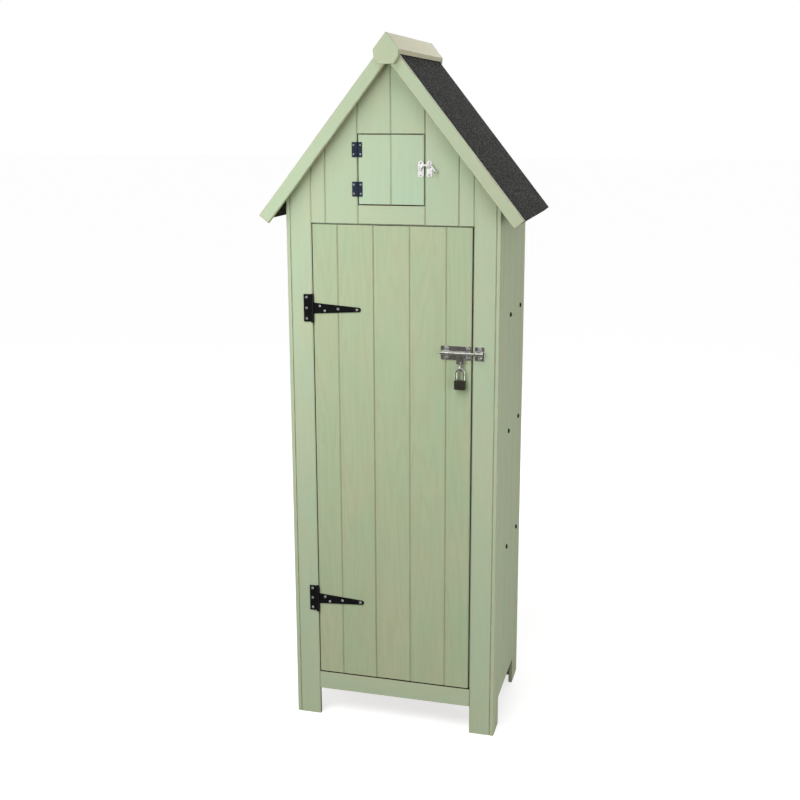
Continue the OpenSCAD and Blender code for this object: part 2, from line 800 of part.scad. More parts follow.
module hinge_strap(zc) {
    root = strap_root_h / 2;
    tip = strap_tip_h / 2;
    color(black_steel) difference() {
        union() {
            knuckle(knuckle_r, zc - root, zc + root);
            block([hinge_x + 1, front_y - strap_t, zc - root],
                [hinge_x + leaf_clear + 1, front_y - knuckle_back, zc + root]);
            translate([hinge_x, 0, zc]) upright(front_y - strap_t, front_y) {
                polygon([
                    [leaf_clear, -root], [strap_l - tip, -tip], [strap_l - tip, tip], [leaf_clear, root]
                ]);
                translate([strap_l - tip, 0]) circle(r = tip);
            }
        }
        knuckle(pin_r + pin_fit, zc - root - 1, zc + root + 1);
        plate_holes(strap_points(zc), screw_shank_r, strap_t);
    }
}

// Knuckle of a hatch hinge between two heights
module butt_knuckle(r, z0, z1) {
    translate([butt_x, front_y + butt_y, z0]) cylinder(r = r, h = z1 - z0);
}

// The outer knuckles and leaf belong to the gable, the middle knuckle to the hatch
module hatch_hinge_frames() {
    third = butt_h / 6 + knuckle_gap / 2;
    color(slate) for (zc = butt_z) difference() {
        union() {
            block([butt_x - butt_w, front_y - butt_t, zc - butt_h / 2],
                [butt_x - butt_clear, front_y, zc + butt_h / 2]);
            for (z = [[zc - butt_h / 2, zc - third], [zc + third, zc + butt_h / 2]]) {
                butt_knuckle(butt_r, z[0], z[1]);
                block([butt_x - butt_clear - 1, front_y - butt_t, z[0]],
                    [butt_x - 0.6, front_y - knuckle_back, z[1]]);
            }
            butt_knuckle(butt_pin_r, zc - third - 1, zc + third + 1);
        }
        plate_holes(butt_points(-1), small_shank_r, butt_t);
    }
}

module hatch_leaves() {
    third = butt_h / 6 - knuckle_gap / 2;
    color(slate) for (zc = butt_z) difference() {
        union() {
            block([butt_x + butt_clear, front_y - butt_t, zc - butt_h / 2],
                [butt_x + butt_w, front_y, zc + butt_h / 2]);
            butt_knuckle(butt_r, zc - third, zc + third);
            block([butt_x + 0.6, front_y - butt_t, zc - third],
                [butt_x + butt_clear + 1, front_y - knuckle_back, zc + third]);
        }
        butt_knuckle(butt_pin_r + pin_fit, zc - third - 1, zc + third + 1);
        plate_holes(butt_points(1), small_shank_r, butt_t);
    }
}

// A round-ended plate standing upright
module latch_plate(x) {
    straight = latch_plate_h / 2 - latch_plate_w / 2;
    difference() {
        translate([x, 0, latch_z]) upright(front_y - latch_plate_t, front_y) {
            square([latch_plate_w, 2 * straight], center = true);
            for (s = [-1, 1]) translate([0, s * straight]) circle(r = latch_plate_w / 2);
        }
        plate_holes(latch_points(x), small_shank_r, latch_plate_t);
    }
}

module latch_post() {
    color(bright) {
        latch_plate(latch_post_x);
        pin_y(latch_post_x, arm_tip_y - 0.8, latch_post_z, post_r, 0.8 - arm_tip_y);
    }
}

module latch_pivot() {
    shoulder_y = arm_y + arm_side_gap;
    cap_y = arm_tip_y - arm_side_gap;
    color(bright) {
        latch_plate(latch_pivot_x);
        pin_y(latch_pivot_x, shoulder_y, latch_z, 1.8 * arm_pivot_r, -shoulder_y);
        pin_y(latch_pivot_x, cap_y - 1, latch_z, arm_pivot_r, shoulder_y - cap_y + 2);
        pin_y(latch_pivot_x, cap_y - 1.3, latch_z, 1.7 * arm_pivot_r, 1.3);
    }
}

module hatch_screws() {
    color(bright) for (p = small_hatch) {
        t = p[0] > 0 ? latch_plate_t : butt_t;
        screw(p[0], -t, p[1], small_r, small_h, small_shank_r, small_l);
    }
}

// A bar with round ends between two points
module bar_2d(p, q, w) {
    run = q - p;
    for (c = [p, q]) translate(c) circle(r = w / 2);
    translate(p) rotate(atan2(run[1], run[0])) translate([0, -w / 2]) square([norm(run), w]);
}

module latch_arm() {
    color(bright) difference() {
        union() {
            upright(front_y + arm_tip_y, front_y + arm_y) {
                for (i = [0:2]) bar_2d(arm_path[i], arm_path[i + 1], arm_w);
                bar_2d([spur_x, arm_over], [spur_x, latch_post_z - post_r], spur_w);
                translate(arm_path[0]) circle(r = 1.7 * arm_pivot_r);
            }
            translate([arm_path[3][0], front_y + arm_y - arm_t / 2, arm_path[3][1]]) sphere(r = knob_r);
        }
        pin_y(latch_pivot_x, arm_tip_y - 1, latch_z, arm_pivot_r + pin_fit, arm_t + 2);
    }
}

// Outline of a guide or loop over the bolt's bar, from x0 to x1, standing on a plate
module guide(x0, x1, r) {
    translate([x0, front_y + bar_y, bolt_z]) rotate([0, 90, 0]) cylinder(r = r, h = x1 - x0);
    block([x0, front_y + bar_y, bolt_z - r], [x1, front_y - base_t / 2, bolt_z + r]);
}

module base_plate(x0, x1) {
    block([x0, front_y - base_t, bolt_z - base_h / 2], [x1, front_y, bolt_z + base_h / 2]);
}

module bolt_base() {
    color(bright) difference() {
        union() {
            base_plate(base_x0, base_x1);
            for (g = [guide_left, guide_right]) guide(g[0], g[1], guide_bore_r + guide_wall);
        }
        translate([base_x0, front_y + bar_y, bolt_z]) rotate([0, 90, 0])
            cylinder(r = guide_bore_r, h = base_l);
        plate_holes(base_points, screw_shank_r, base_t);
    }
}

module bolt_keeper() {
    loop_r = bar_r + keeper_fit;
    color(bright) difference() {
        union() {
            base_plate(keeper_x0, keeper_x0 + keeper_l);
            difference() {
                guide(keeper_loop[0], keeper_loop[1], loop_r + guide_wall);
                guide(keeper_loop[0] - 1, keeper_loop[1] + 1, loop_r);
            }
        }
        plate_holes(keeper_points, screw_shank_r, base_t);
    }
}

module slide_bolt() {
    eye_outer = eye_r + eye_wall;
    color(bright) difference() {
        union() {
            translate([bar_x0, front_y + bar_y, bolt_z]) rotate([0, 90, 0])
                cylinder(r = bar_r, h = bar_x1 - bar_x0);
            block([tab_x0, front_y + bar_y - tab_t / 2, eye_z + 10],
                [tab_x0 + tab_w, front_y + bar_y + tab_t / 2, bolt_z]);
            block([eye_x - eye_t / 2, front_y + eye_y, eye_z],
                [eye_x + eye_t / 2, front_y + bar_y + tab_t / 2, eye_z + 14]);
            translate([eye_x - eye_t / 2, front_y + eye_y, eye_z]) rotate([0, 90, 0])
                cylinder(r = eye_outer, h = eye_t);
        }
        translate([eye_x - eye_t, front_y + eye_y, eye_z]) rotate([0, 90, 0])
            cylinder(r = eye_r, h = 2 * eye_t);
    }
}

// The shackle's bend, with its middle on the swing axis
module shackle_arc(r) {
    translate([eye_x, front_y + eye_y, bend_z]) rotate([90, 0, 0]) rotate_extrude(angle = 180)
        translate([shackle_bend, 0]) circle(r = r);
}

// One leg, from the bend down to the depth l inside the lock
module shackle_rod(side, r, l) {
    translate([eye_x + side * shackle_bend, front_y + eye_y, lock_top - l])
        cylinder(r = r, h = shackle_leg + l);
}

module shackle() {
    color(bright) {
        shackle_arc(shackle_r);
        shackle_rod(-1, shackle_r, heel_l);
        shackle_rod(1, shackle_r, toe_l);
    }
}

module padlock_body() {
    half = lock_w / 2 - lock_corner_r;
    color(dark_steel) difference() {
        translate([eye_x, 0, 0]) upright(front_y + eye_y - lock_t / 2, front_y + eye_y + lock_t / 2) {
            translate([-half, lock_top - lock_h]) square([2 * half, lock_h]);
            translate([-lock_w / 2, lock_top - lock_h + lock_corner_r])
                square([lock_w, lock_h - 2 * lock_corner_r]);
            for (s = [-1, 1]) for (z = [lock_top - lock_corner_r, lock_top - lock_h + lock_corner_r])
                translate([s * half, z]) circle(r = lock_corner_r);
        }
        shackle_rod(-1, shackle_r + leg_fit, heel_l + 1);
        shackle_rod(1, shackle_r + leg_fit, toe_l + 1);
        // Keyway
        translate([eye_x, front_y + eye_y, lock_top - lock_h - 1]) {
            cylinder(r = 4, h = 1.6);
            translate([-0.7, -2.8, 0]) cube([1.4, 5.6, 7]);
        }
    }
}

module door_board(i) {
    color(paint) difference() {
        translate([0, front_y, door_z0]) linear_extrude(door_z1 - door_z0) run_board(door_edges, i, door_t);
        large_holes(strap_all);
        large_holes(base_points);
    }
}

module door_ledges() {
    y0 = front_y + door_t;
    color(paint) difference() {
        for (z = ledge_z) block(
            [door_x0 + ledge_inset, y0, z - ledge_h / 2],
            [door_x1 - ledge_inset, y0 + ledge_t, z + ledge_h / 2]
        );
        large_holes(strap_all);
        large_holes(base_points);
    }
}

module door_screws() {
    color(bright) {
        for (p = strap_all) screw(p[0], -strap_t, p[1], screw_r, screw_h, screw_shank_r, screw_l);
        for (p = base_points) screw(p[0], -base_t, p[1], screw_r, screw_h, screw_shank_r, screw_l);
    }
}

module frame_screws() {
    color(bright) {
        for (p = frame_plate_all) screw(p[0], -strap_t, p[1], screw_r, screw_h, screw_shank_r, screw_l);
        for (p = keeper_points) screw(p[0], -base_t, p[1], screw_r, screw_h, screw_shank_r, screw_l);
        for (p = butt_points(-1)) screw(p[0], -butt_t, p[1], small_r, small_h, small_shank_r, small_l);
        for (p = latch_points(latch_post_x))
            screw(p[0], -latch_plate_t, p[1], small_r, small_h, small_shank_r, small_l);
    }
}

module hatch_boards() {
    color(paint) difference() {
        translate([0, front_y, leaf_z0]) linear_extrude(leaf_z1 - leaf_z0)
            for (i = [0, 1]) run_board([-leaf_x, 0, leaf_x], i, door_t);
        small_holes(small_hatch);
    }
}

module hatch_battens() {
    half = hatch_x - jamb_lap - 6;
    y0 = front_y + door_t;
    color(paint) for (z = butt_z) block(
        [-half, y0, z - hatch_batten_h / 2],
        [half, y0 + ledge_t, z + hatch_batten_h / 2]
    );
}

stile(-1);  // stile_left
stile(1);  // stile_right
bottom_rail();
gable_boards();
gable_sill();
mirror([1, 0, 0]) side_boards_right();  // side_boards_left
side_boards_right();
back_boards();
post(-1, inner_front_y);  // post_front_left
post(1, inner_front_y);  // post_front_right
post(-1, inner_back_y - post_s);  // post_rear_left
post(1, inner_back_y - post_s);  // post_rear_right
head_batten();
hatch_jambs();
door_stop(-1);  // door_stop_left
door_stop(1);  // door_stop_right
floor_panel();
floor_bearers();
shelf(shelf_low_z);  // shelf_low
shelf(shelf_mid_z);  // shelf_mid
shelf(shelf_high_z);  // shelf_high
both_sides() shelf_battens_right();  // shelf_battens
both_sides() side_bolts_right();  // side_bolts
mirror([1, 0, 0]) roof_boards_right();  // roof_boards_left
roof_boards_right();
both_sides() roof_battens_right();  // roof_battens
mirror([1, 0, 0]) felt_right();  // felt_left
felt_right();
mirror([1, 0, 0]) barge_right();  // barge_left
barge_right();
mirror([1, 0, 0]) ridge_board_right();  // ridge_board_left
ridge_board_right();
ridge_plate(-overall_d / 2);  // ridge_plate_front
ridge_plate(roof_y1);  // ridge_plate_rear
hinge_plate(hinge_low_z);  // hinge_plate_low
hinge_plate(hinge_high_z);  // hinge_plate_high
hatch_hinge_frames();
latch_post();
bolt_keeper();
frame_screws();
door_board(0);  // door_board_1
door_board(1);  // door_board_2
door_board(2);  // door_board_3
door_board(3);  // door_board_4
door_board(4);  // door_board_5
door_ledges();
hinge_strap(hinge_low_z);  // hinge_strap_low
hinge_strap(hinge_high_z);  // hinge_strap_high
bolt_base();
door_screws();
slide_bolt();
shackle();
padlock_body();
hatch_boards();
hatch_battens();
hatch_leaves();
latch_pivot();
hatch_screws();
latch_arm();
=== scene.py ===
import json
import math
import random

import bmesh
import bpy
from mathutils import Matrix, Vector

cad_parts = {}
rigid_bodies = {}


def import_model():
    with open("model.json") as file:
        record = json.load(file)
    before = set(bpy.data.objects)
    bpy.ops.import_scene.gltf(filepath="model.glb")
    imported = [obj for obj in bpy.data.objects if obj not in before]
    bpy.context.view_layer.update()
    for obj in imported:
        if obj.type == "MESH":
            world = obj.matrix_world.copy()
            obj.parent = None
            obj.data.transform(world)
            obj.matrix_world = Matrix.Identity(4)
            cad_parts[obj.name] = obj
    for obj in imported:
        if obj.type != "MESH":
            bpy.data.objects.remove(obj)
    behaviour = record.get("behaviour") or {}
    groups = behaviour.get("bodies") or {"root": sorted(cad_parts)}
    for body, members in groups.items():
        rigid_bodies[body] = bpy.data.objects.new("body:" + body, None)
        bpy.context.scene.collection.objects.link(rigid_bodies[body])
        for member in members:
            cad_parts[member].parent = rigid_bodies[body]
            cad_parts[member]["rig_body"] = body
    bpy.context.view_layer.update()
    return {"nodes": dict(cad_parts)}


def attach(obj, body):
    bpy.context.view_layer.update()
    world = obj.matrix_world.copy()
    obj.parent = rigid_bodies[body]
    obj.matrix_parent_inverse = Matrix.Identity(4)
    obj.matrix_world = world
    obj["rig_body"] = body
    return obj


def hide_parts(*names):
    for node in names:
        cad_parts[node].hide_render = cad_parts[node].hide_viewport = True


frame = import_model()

chance = random.Random(7)
mm = 0.001
quarter = math.radians(90)
# Edges that turn by more than this are arrises, and the others are part of a round face
arris_angle = math.radians(40)


def linear(text):
    """An sRGB hex value as the linear colour that a shader takes."""
    parts = [int(text[i:i + 2], 16) / 255 for i in (1, 3, 5)]
    return tuple(c / 12.92 if c <= 0.04045 else ((c + 0.055) / 1.055) ** 2.4 for c in parts) + (1.0,)


def add(owner, kind, settings=None, links=None):
    """Adds one node to a material or a world. settings are its properties, sockets or ramp stops, and links
    are the nodes or sockets that feed its inputs."""
    made = owner.node_tree.nodes.new(kind)
    for key, value in (settings or {}).items():
        if key == "stops":
            spots = made.color_ramp.elements
            while len(spots) < len(value):
                spots.new(0.5)
            for spot, (place, tone) in zip(spots, value):
                spot.position = place
                spot.color = tone if isinstance(tone, tuple) else (tone, tone, tone, 1.0)
        elif isinstance(key, str) and hasattr(made, key):
            setattr(made, key, value)
        else:
            made.inputs[key].default_value = value
    for key, source in (links or {}).items():
        if isinstance(source, bpy.types.Node):
            source = [out for out in source.outputs if out.enabled][0]
        owner.node_tree.links.new(source, made.inputs[key])
    return made


def repeats(*lengths):
    """The scale of a pattern that repeats over the lengths in mm: one for each axis, or one for all."""
    scales = [1 / (length * mm) for length in lengths]
    return scales if len(scales) > 1 else scales[0]


# The finishes

# Thin stain in a vee joint, wood that shows on a rubbed arris, and painted shade, near black, on the edges
# round the door and the hatch
joint_beige, rubbed_wood, painted_gap_shade = "#a3967a", "#b08f78", "#26251c"


def stained_softwood(name, turn, tones, thin, show):
    """Planed softwood under stain. turn stands the grain upright, tones are the colours that the stain
    drifts between, thin is where it lies thin on the growth lines and knots, and show is how much of them
    shows."""
    mat = bpy.data.materials.new(name)
    mat.use_nodes = True
    shader = mat.node_tree.nodes["Principled BSDF"]
    place = add(mat, "ShaderNodeTexCoord")
    board = add(mat, "ShaderNodeAttribute", {"attribute_name": "board"})
    rubbed = add(mat, "ShaderNodeAttribute", {"attribute_name": "rubbed"})
    seam = add(mat, "ShaderNodeAttribute", {"attribute_name": "seam"})
    gap = add(mat, "ShaderNodeAttribute", {"attribute_name": "gap"})
    jump = add(mat, "ShaderNodeVectorMath", {"operation": "MULTIPLY", 1: (3.1, 5.7, 9.3)},
               {0: board.outputs["Fac"]})
    stand = add(mat, "ShaderNodeMapping", {"Rotation": turn}, {0: place.outputs["Object"]})
    moved = add(mat, "ShaderNodeVectorMath", {"operation": "ADD"}, {0: stand, 1: jump})
    # The stain drifts between its tones over 90 mm across the grain and 170 mm along it
    drift = add(mat, "ShaderNodeMapping", {"Scale": repeats(90, 90, 170)}, {0: moved})
    cloud = add(mat, "ShaderNodeTexNoise", {"Scale": 1.0, "Detail": 4.0, "Roughness": 0.55}, {0: drift})
    lean = add(mat, "ShaderNodeMath", {"operation": "MULTIPLY_ADD", 1: 0.12, 2: -0.06},
               {0: board.outputs["Fac"]})
    drifted = add(mat, "ShaderNodeMath", {"operation": "ADD"}, {0: cloud, 1: lean})
    tone = add(mat, "ShaderNodeValToRGB", {"stops": [(0.22, linear(tones[0])), (0.5, linear(tones[1])),
                                                     (0.78, linear(tones[2]))]}, {0: drifted})
    # Growth lines about 10 mm apart on the flat of a board, in long flames
    flame = add(mat, "ShaderNodeMapping", {"Scale": repeats(50, 50, 550)}, {0: moved})
    growth = add(mat, "ShaderNodeTexNoise", {"Scale": 1.0, "Detail": 1.5, "Roughness": 0.4}, {0: flame})
    waves = add(mat, "ShaderNodeMath", {"operation": "MULTIPLY", 1: 9.0}, {0: growth})
    ring = add(mat, "ShaderNodeMath", {"operation": "PINGPONG", 1: 0.5}, {0: waves})
    rings = add(mat, "ShaderNodeValToRGB", {"stops": [(0.0, 0.6), (0.22, 0.2), (0.5, 0.0)]}, {0: ring})
    # Knots of about 12 mm with a darker rim, one in every 300 mm or so of a board
    apart = add(mat, "ShaderNodeMapping", {"Scale": repeats(100, 100, 300)}, {0: moved})
    cell = add(mat, "ShaderNodeTexVoronoi", {"Scale": 1.0}, {0: apart})
    knot = add(mat, "ShaderNodeValToRGB", {"stops": [
        (0.025, 0.35), (0.042, 1.0), (0.055, 0.3), (0.09, 0.0)]}, {0: cell.outputs["Distance"]})
    figure = add(mat, "ShaderNodeMath", {"operation": "ADD", "use_clamp": True}, {0: rings, 1: knot})
    amount = add(mat, "ShaderNodeMath", {"operation": "MULTIPLY", 1: show}, {0: figure})
    base = add(mat, "ShaderNodeMix", {"data_type": "RGBA", 7: linear(thin)}, {0: amount, 6: tone})
    # Fibres 2 mm apart, drawn coarser than real ones, and 50 times as long
    thread = add(mat, "ShaderNodeMapping", {"Scale": repeats(2, 2, 100)}, {0: moved})
    fibre = add(mat, "ShaderNodeTexNoise", {"Scale": 1.0, "Detail": 3.0, "Roughness": 0.6}, {0: thread})
    streaks = add(mat, "ShaderNodeValToRGB", {"stops": [(0.3, 0.985 - 0.13 * show), (0.65, 1.0)]},
                  {0: fibre})
    base = add(mat, "ShaderNodeMix", {"data_type": "RGBA", "blend_type": "MULTIPLY", 0: 1.0},
               {6: base, 7: streaks})
    # In the vee joints the stain is thin and beige, and on the arrises it is rubbed to the wood in places
    patch = add(mat, "ShaderNodeTexNoise", {"Scale": repeats(50), "Detail": 4.0}, {0: moved})
    part = add(mat, "ShaderNodeValToRGB", {"stops": [(0.35, 0.3), (0.6, 1.0)]}, {0: patch})
    in_seam = add(mat, "ShaderNodeMath", {"operation": "MULTIPLY"}, {0: part, 1: seam.outputs["Fac"]})
    base = add(mat, "ShaderNodeMix", {"data_type": "RGBA", 7: linear(joint_beige)}, {0: in_seam, 6: base})
    some = add(mat, "ShaderNodeValToRGB", {"stops": [(0.42, 0.0), (0.55, 1.0)]}, {0: patch})
    on_edge = add(mat, "ShaderNodeMath", {"operation": "MULTIPLY"}, {0: some, 1: rubbed.outputs["Fac"]})
    base = add(mat, "ShaderNodeMix", {"data_type": "RGBA", 7: linear(rubbed_wood)}, {0: on_edge, 6: base})
    # The edges round the door and the hatch are painted near black: painted shade for the deep gaps round
    # them
    base = add(mat, "ShaderNodeMix", {"data_type": "RGBA", 7: linear(painted_gap_shade)},
               {0: gap.outputs["Fac"], 6: base})
    mat.node_tree.links.new(base.outputs[2], shader.inputs["Base Color"])
    gloss = add(mat, "ShaderNodeValToRGB", {"stops": [(0.2, 0.54), (0.8, 0.7)]}, {0: fibre})
    mat.node_tree.links.new(gloss.outputs[0], shader.inputs["Roughness"])
    shader.inputs["IOR"].default_value = 1.45
    relief = add(mat, "ShaderNodeMath", {"operation": "ADD"}, {0: fibre, 1: figure})
    bump = add(mat, "ShaderNodeBump", {"Strength": 0.25, "Distance": 0.3 * mm}, {"Height": relief})
    mat.node_tree.links.new(bump.outputs[0], shader.inputs["Normal"])
    return mat


def mineral_felt():
    """Bitumen felt strewn with slate grit: near-black and matt, with pale specks and a sandy relief."""
    mat = bpy.data.materials.new("mineral_roofing_felt")
    mat.use_nodes = True
    shader = mat.node_tree.nodes["Principled BSDF"]
    place = add(mat, "ShaderNodeTexCoord")
    # Grit drawn 1.6 mm across, a little coarser than the real 1 mm, so that it shows at this distance
    grit = add(mat, "ShaderNodeTexVoronoi", {"Scale": repeats(1.6)}, {0: place.outputs["Object"]})
    grey = add(mat, "ShaderNodeSeparateColor", {}, {0: grit.outputs["Color"]})
    sand = add(mat, "ShaderNodeTexNoise", {"Scale": repeats(4), "Detail": 2.0}, {0: place.outputs["Object"]})
    mixed = add(mat, "ShaderNodeMath", {"operation": "MULTIPLY_ADD", 1: 0.5}, {0: grey, 2: sand})
    specks = add(mat, "ShaderNodeValToRGB", {"stops": [
        (0.45, linear("#0c0d0c")), (0.72, linear("#191a19")), (0.9, linear("#343533")),
        (1.0, linear("#777a73"))]}, {0: mixed})
    cloud = add(mat, "ShaderNodeTexNoise", {"Scale": repeats(60), "Detail": 4.0},
                {0: place.outputs["Object"]})
    worn = add(mat, "ShaderNodeValToRGB", {"stops": [(0.3, 0.82), (0.7, 1.0)]}, {0: cloud})
    base = add(mat, "ShaderNodeMix", {"data_type": "RGBA", "blend_type": "MULTIPLY", 0: 1.0},
               {6: specks, 7: worn})
    mat.node_tree.links.new(base.outputs[2], shader.inputs["Base Color"])
    shader.inputs["Roughness"].default_value = 0.95
    shader.inputs["IOR"].default_value = 1.4
    shader.inputs["Specular IOR Level"].default_value = 0.15
    bump = add(mat, "ShaderNodeBump", {"Strength": 0.8, "Distance": 1.0 * mm},
               {"Height": grit.outputs["Distance"]})
    mat.node_tree.links.new(bump.outputs[0], shader.inputs["Normal"])
    return mat


def coated_steel(name, tone, rough, grain):
    """Pressed steel under a baked coat: one quiet colour, an orange peel of grain mm and rubbed spots."""
    mat = bpy.data.materials.new(name)
    mat.use_nodes = True
    shader = mat.node_tree.nodes["Principled BSDF"]
    place = add(mat, "ShaderNodeTexCoord")
    peel = add(mat, "ShaderNodeTexNoise", {"Scale": repeats(grain), "Detail": 2.0},
               {0: place.outputs["Object"]})
    worn = add(mat, "ShaderNodeTexNoise", {"Scale": repeats(11), "Detail": 4.0},
               {0: place.outputs["Object"]})
    spots = add(mat, "ShaderNodeValToRGB", {"stops": [(0.3, 0.72), (0.7, 1.0)]}, {0: worn})
    base = add(mat, "ShaderNodeMix", {"data_type": "RGBA", "blend_type": "MULTIPLY", 0: 1.0,
                                      6: linear(tone)}, {7: spots})
    mat.node_tree.links.new(base.outputs[2], shader.inputs["Base Color"])
    gloss = add(mat, "ShaderNodeValToRGB", {"stops": [(0.3, rough - 0.08), (0.7, rough + 0.1)]}, {0: worn})
    mat.node_tree.links.new(gloss.outputs[0], shader.inputs["Roughness"])
    shader.inputs["Specular IOR Level"].default_value = 0.3
    bump = add(mat, "ShaderNodeBump", {"Strength": 0.3, "Distance": 0.08 * mm}, {"Height": peel})
    mat.node_tree.links.new(bump.outputs[0], shader.inputs["Normal"])
    return mat


def plated_steel(name, tone, dull, rough, haze):
    """Plated steel, mirror-like with hazy, dull patches. Its arrises flash and its hollows go dark."""
    mat = bpy.data.materials.new(name)
    mat.use_nodes = True
    shader = mat.node_tree.nodes["Principled BSDF"]
    place = add(mat, "ShaderNodeTexCoord")
    smear = add(mat, "ShaderNodeTexNoise", {"Scale": repeats(15), "Detail": 3.0},
                {0: place.outputs["Object"]})
    wave = add(mat, "ShaderNodeTexNoise", {"Scale": repeats(8), "Detail": 1.0},
               {0: place.outputs["Object"]})
    base = add(mat, "ShaderNodeValToRGB", {"stops": [(0.35, linear(dull)), (0.55, linear(tone))]},
               {0: smear})
    mat.node_tree.links.new(base.outputs[0], shader.inputs["Base Color"])
    shader.inputs["Metallic"].default_value = 1.0
    gloss = add(mat, "ShaderNodeValToRGB", {"stops": [(0.35, rough + haze), (0.7, rough)]}, {0: smear})
    mat.node_tree.links.new(gloss.outputs[0], shader.inputs["Roughness"])
    bump = add(mat, "ShaderNodeBump", {"Strength": 0.3, "Distance": 0.3 * mm}, {"Height": wave})
    mat.node_tree.links.new(bump.outputs[0], shader.inputs["Normal"])
    return mat


# The grain stands along Z in the pattern: these turns lay a board along X, along Y or down a roof slope
slope = math.radians(51.5)
upright, across, along = (0.0, 0.0, 0.0), (0.0, quarter, 0.0), (quarter, 0.0, 0.0)
down_right, down_left = (0.0, quarter - slope, 0.0), (0.0, slope - quarter, 0.0)
# Matt pale sage stain on planed softwood: quiet, drifting from green to a greyer sage, with faint grain
sage = (("#b5c9ab", "#bbc8aa", "#c1c7a8"), "#bfb793", 0.2)
# The hatch has a fresher, cooler coat
fresh_sage = (("#b5ceb3", "#bacdb0", "#bfccae"), "#bfb793", 0.2)
# The ridge boards are the most weathered, and warmer
worn_sage = (("#c1caa8", "#cacba8", "#d0c9a5"), "#bfb08a", 0.3)
# The door's coat is thinner and yellower, with more of the grain and the knots
door_sage = (("#adc3a0", "#b5c2a0", "#bcc1a1"), "#a9a683", 0.3)
# Bare softwood indoors: straw, with plain growth lines
straw = (("#d3ba8e", "#ccb084", "#c6a87a"), "#a9824f", 0.9)
stain = {
    "upright": stained_softwood("sage_stain_upright", upright, *sage),
    "fresh_upright": stained_softwood("fresh_sage_stain_upright", upright, *fresh_sage),
    "across": stained_softwood("sage_stain_across", across, *sage),
    "along": stained_softwood("worn_sage_stain_front_to_back", along, *worn_sage),
    "down_right": stained_softwood("sage_stain_right_slope", down_right, *sage),
    "down_left": stained_softwood("sage_stain_left_slope", down_left, *sage),
    "door_upright": stained_softwood("thin_sage_stain_upright", upright, *door_sage),
    "door_across": stained_softwood("thin_sage_stain_across", across, *door_sage),
    "bare_across": stained_softwood("bare_softwood_across", across, *straw),
    "bare_along": stained_softwood("bare_softwood_front_to_back", along, *straw)}
felt_grit = mineral_felt()
# Black powder coat on the T-hinges and coach bolts: satin, with a fine orange peel
black_coat = coated_steel("black_powder_coat", "#08090a", 0.5, 1.1)
# Blued slate coat on the thin pressed hinges of the hatch
slate_coat = coated_steel("slate_blue_coat", "#232d40", 0.45, 0.9)
# Dark enamel on the cast body of the padlock
enamel = coated_steel("dark_lock_enamel", "#3b372e", 0.25, 1.4)
# Bright nickel plate on the bolt, the latch and the shackle
nickel = plated_steel("bright_nickel_plate", "#dcdbd8", "#bcbbb7", 0.12, 0.1)
# The latch is plated too and more satin, and its colour is made paler than the bolt's nickel as a painted
# highlight, so that it shows white
latch_plate_painted_pale = plated_steel("satin_nickel_plate", "#f6f5f3", "#d8d7d4", 0.16, 0.1)
# Zinc plate on the screws, paler and duller than nickel
zinc = plated_steel("bright_zinc_plate", "#f1f3f5", "#d8dadc", 0.3, 0.15)


# The pieces

# Faces of a finished piece that turn by more than this have a sharp edge between them
sharp_angle = math.radians(38)
# Points closer than this in metres are one, and faces that turn by less than this are one
same_point, same_plane = 0.00001, math.radians(0.5)
# The front of the wall boards, and how far the axis of the bolt's bar stands off it in mm
front, bar_stand = -0.187, 6.2


def finished(name, bm, mat, replaced):
    """A finished piece from a bmesh that is already in place. It rides the body of the node it replaces."""
    mesh = bpy.data.meshes.new(name)
    bm.to_mesh(mesh)
    bm.free()
    obj = bpy.data.objects.new(name, mesh)
    bpy.context.scene.collection.objects.link(obj)
    mesh.materials.append(mat)
    mesh.shade_smooth()
    mesh.set_sharp_from_angle(angle=sharp_angle)
    even = obj.modifiers.new("even_shading", "WEIGHTED_NORMAL")
    even.keep_sharp = True
    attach(obj, frame["nodes"][replaced]["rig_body"])
    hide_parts(replaced)
    return obj


def merged_copy(name):
    """A bmesh of a CAD node with its loose triangles joined and its flat faces made whole."""
    bm = bmesh.new()
    bm.from_mesh(frame["nodes"][name].data)
    bmesh.ops.remove_doubles(bm, verts=bm.verts, dist=same_point)
    bmesh.ops.dissolve_limit(bm, angle_limit=same_plane, verts=bm.verts, edges=bm.edges,
                             use_dissolve_boundaries=False)
    return bm


def solids(bm):
    """The separate solids of a bmesh, each as a list of faces."""
    left = set(bm.faces)
    found = []
    while left:
        group = [left.pop()]
        for face in group:
            for other in {f for e in face.edges for f in e.link_faces} & left:
                left.remove(other)
                group.append(other)
        found.append(group)
    return sorted(found, key=lambda group: [round(min(v.co[i] for f in group for v in f.verts), 5)
                                            for i in range(3)])


# Half width, lowest and highest edge of the two openings in the front, and the reach of the gap, in mm
doorway, hatchway = (203.5, 126.5, 1331.0), (83.3, 1379.2, 1547.8)
gap_reach, gap_end = 2.3, 2
# How strongly the marks show: the stain in a vee joint, the wear on an arris and the wear down a line
joint_share, arris_share, line_share = 0.25, 0.85, 0.4
# The width of a worn line, and the shortest edge that is eased, in mm
worn_width, short_edge = 1.3, 12


def in_gap(across_x, up_z, half, low, high):
    """Whether a point lies in the narrow gap round a door in its opening."""
    beside = abs(across_x - half) < gap_reach and low - gap_end < up_z < high + gap_end
    above = min(abs(up_z - low), abs(up_z - high)) < gap_reach and across_x < half + gap_end
    return beside or above


